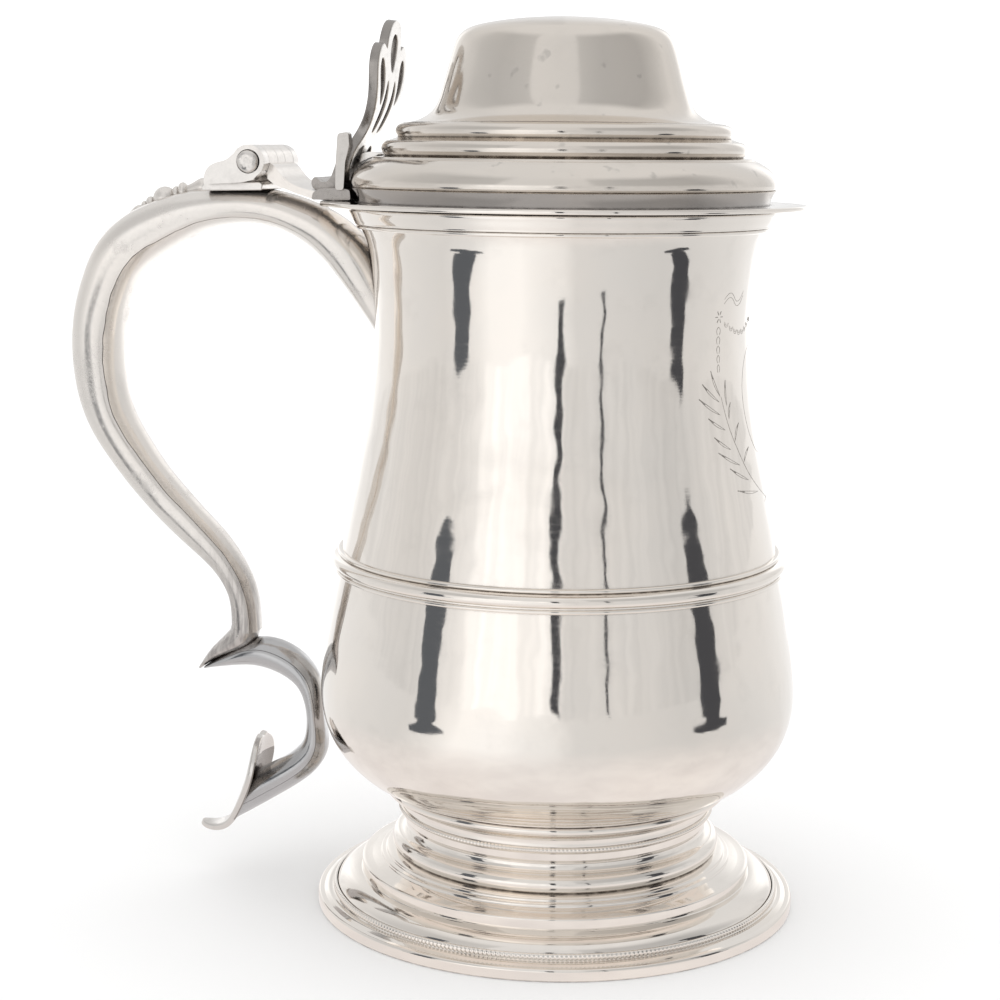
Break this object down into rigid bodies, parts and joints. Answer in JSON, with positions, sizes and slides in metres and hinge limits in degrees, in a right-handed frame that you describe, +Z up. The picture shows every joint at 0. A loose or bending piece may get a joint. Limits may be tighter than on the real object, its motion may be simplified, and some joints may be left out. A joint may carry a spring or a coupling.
{
  "type": "lidded tankard",
  "caption": "Baluster drinking tankard in polished pewter with a spreading foot, hinged dome lid, openwork thumbpiece and double-scroll handle.",
  "frame": {"origin": "centre of the whole object's box, at the level of the table under the foot rim; the body's own axis lies 31.6 mm towards +X from it", "axes": "+Z up along the body's axis, -X towards the handle, Y across the handle and along the lid's hinge pin"},
  "size_m": [0.1788, 0.1156, 0.2112],
  "materials": {
    "polished_metal": "hand-polished warm grey metal, near mirror, with fine rubbing marks and dark tarnish in the creases",
    "toned_metal": "polished metal with a darker grey tone and spots of tarnish"
  },
  "bodies": {
    "vessel": {"body_shell": "polished_metal", "lip_moulding": "polished_metal", "mid_band": "polished_metal", "foot_collar": "polished_metal", "foot_shell": "polished_metal", "foot_rim": "polished_metal", "handle_back": "polished_metal", "handle_strip": "polished_metal", "handle_spur": "polished_metal", "lower_scroll": "polished_metal", "handle_terminal": "polished_metal", "handle_drop": "toned_metal", "hinge_strap": "polished_metal", "end_knuckle_near": "polished_metal", "end_knuckle_far": "polished_metal", "middle_knuckle": "polished_metal", "hinge_pin": "polished_metal"},
    "lid": {"lid_cover": "toned_metal", "lid_flange": "polished_metal", "lid_bezel": "polished_metal", "lid_hinge_arm": "polished_metal", "lid_knuckle_near": "polished_metal", "lid_knuckle_far": "polished_metal", "thumbpiece": "toned_metal", "thumbpiece_bracket": "toned_metal", "thumbpiece_tail": "toned_metal"}
  },
  "joints": [
    {"name": "lid_hinge", "type": "hinge", "parent": "vessel", "child": "lid", "pos_m": [-0.04041, 0, 0.1776], "axis": [0, -1, 0], "range_deg": [0, 156]}
  ]
}
